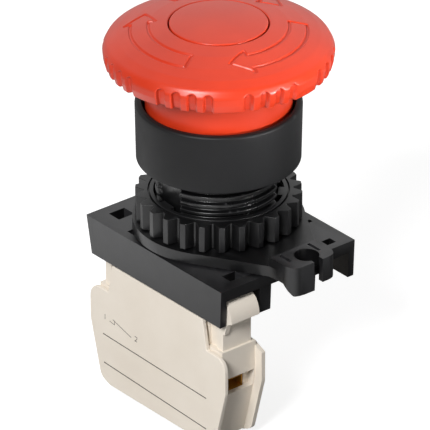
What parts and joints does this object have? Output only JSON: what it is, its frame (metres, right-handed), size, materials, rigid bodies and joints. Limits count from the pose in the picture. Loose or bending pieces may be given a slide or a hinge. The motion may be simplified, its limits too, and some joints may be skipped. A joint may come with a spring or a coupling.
{
  "type": "emergency stop button",
  "caption": "Panel-mount mushroom-head emergency stop push button, turn-to-release, with ring nut, locking lever, mounting base and a clip-on normally closed contact block.",
  "frame": {"origin": "on the button's axis, at the middle of the head's flat top", "axes": "+Z out of the panel towards the mushroom head; +X along the mounting base towards the locking lever's handle; the contact block is on the -Y side"},
  "size_m": [0.046, 0.04, 0.0724],
  "materials": {
    "red_plastic": "semi-gloss moulded red",
    "black_plastic": "satin moulded black, glass filled",
    "cream_plastic": "satin moulded cream",
    "rubber": "matt black elastomer",
    "steel": "zinc plated",
    "brass": "stamped strip",
    "silver": "silver alloy contact rivet"
  },
  "bodies": {
    "operator": {"bezel": "black_plastic", "skirt_seal": "rubber", "panel_gasket": "rubber", "threaded_barrel": "black_plastic", "mounting_base": "black_plastic", "block_housing": "cream_plastic", "block_cover": "cream_plastic", "fixed_contact_1": "brass", "fixed_contact_2": "brass", "fixed_tip_1": "silver", "fixed_tip_2": "silver", "pawl_spring_1": "steel", "pawl_spring_2": "steel"},
    "carriage": {"guide_sleeve": "black_plastic", "return_spring": "steel", "reset_spring": "steel", "pusher_bar": "black_plastic", "pusher_clip": "steel"},
    "head": {"mushroom_head": "red_plastic", "centre_plug": "red_plastic", "head_screw": "steel", "spindle": "black_plastic"},
    "contact_carrier": {"plunger": "red_plastic", "contact_bridge": "brass", "moving_tip_1": "silver", "moving_tip_2": "silver", "contact_spring": "steel"},
    "pawl_1": {"lock_pawl_1": "steel"},
    "pawl_2": {"lock_pawl_2": "steel"},
    "washer": {"thrust_washer": "black_plastic"},
    "nut": {"ring_nut": "black_plastic"},
    "lever": {"locking_lever": "black_plastic"},
    "clamp_1": {"terminal_clamp_1": "brass"},
    "screw_1": {"terminal_screw_1": "steel"},
    "clamp_2": {"terminal_clamp_2": "brass"},
    "screw_2": {"terminal_screw_2": "steel"}
  },
  "joints": [
    {"name": "head_press", "type": "slide", "parent": "operator", "child": "carriage", "axis": [0, 0, -1], "range_m": [0, 0.0055], "stiffness_N_per_m": 900, "springref_m": -0.004, "deforming": ["return_spring"]},
    {"name": "head_turn", "type": "hinge", "parent": "carriage", "child": "head", "pos_m": [0, 0, -0.0063], "axis": [0, 0, 1], "range_deg": [-45, 0], "stiffness_Nm_per_rad": 0.05},
    {"name": "plunger_slide", "type": "slide", "parent": "operator", "child": "contact_carrier", "axis": [0, 0, -1], "range_m": [0, 0.0055], "deforming": ["contact_spring"]},
    {"name": "pawl_1_slide", "type": "slide", "parent": "operator", "child": "pawl_1", "axis": [-1, 0, 0], "range_m": [0, 0.0009]},
    {"name": "pawl_2_slide", "type": "slide", "parent": "operator", "child": "pawl_2", "axis": [1, 0, 0], "range_m": [0, 0.0009]},
    {"name": "washer_lift", "type": "slide", "parent": "operator", "child": "washer", "axis": [0, 0, 1], "range_m": [0, 0.0045]},
    {"name": "nut_turn", "type": "hinge", "parent": "washer", "child": "nut", "pos_m": [0, 0, -0.0353], "axis": [0, 0, 1], "range_deg": [0, 1080]},
    {"name": "lever_turn", "type": "hinge", "parent": "operator", "child": "lever", "pos_m": [0, 0, -0.0389], "axis": [0, 0, 1], "range_deg": [-24, 0]},
    {"name": "clamp_1_lift", "type": "slide", "parent": "operator", "child": "clamp_1", "axis": [0, 0, 1], "range_m": [0, 0.0012]},
    {"name": "screw_1_turn", "type": "hinge", "parent": "clamp_1", "child": "screw_1", "pos_m": [-0.0102, -0.0109, -0.0603], "axis": [0, 0, 1], "range_deg": [0, 720]},
    {"name": "clamp_2_lift", "type": "slide", "parent": "operator", "child": "clamp_2", "axis": [0, 0, 1], "range_m": [0, 0.0012]},
    {"name": "screw_2_turn", "type": "hinge", "parent": "clamp_2", "child": "screw_2", "pos_m": [0.0126, -0.0109, -0.0603], "axis": [0, 0, 1], "range_deg": [0, 720]}
  ],
  "couplings": [
    {"joint": "plunger_slide", "follows": "head_press", "ratio": 1},
    {"joint": "pawl_1_slide", "follows": "head_press", "ratio": 0.1636},
    {"joint": "pawl_2_slide", "follows": "head_press", "ratio": 0.1636},
    {"joint": "nut_turn", "follows": "washer_lift", "rad_per_m": 4188.8},
    {"joint": "screw_1_turn", "follows": "clamp_1_lift", "rad_per_m": 10472},
    {"joint": "screw_2_turn", "follows": "clamp_2_lift", "rad_per_m": 10472}
  ]
}
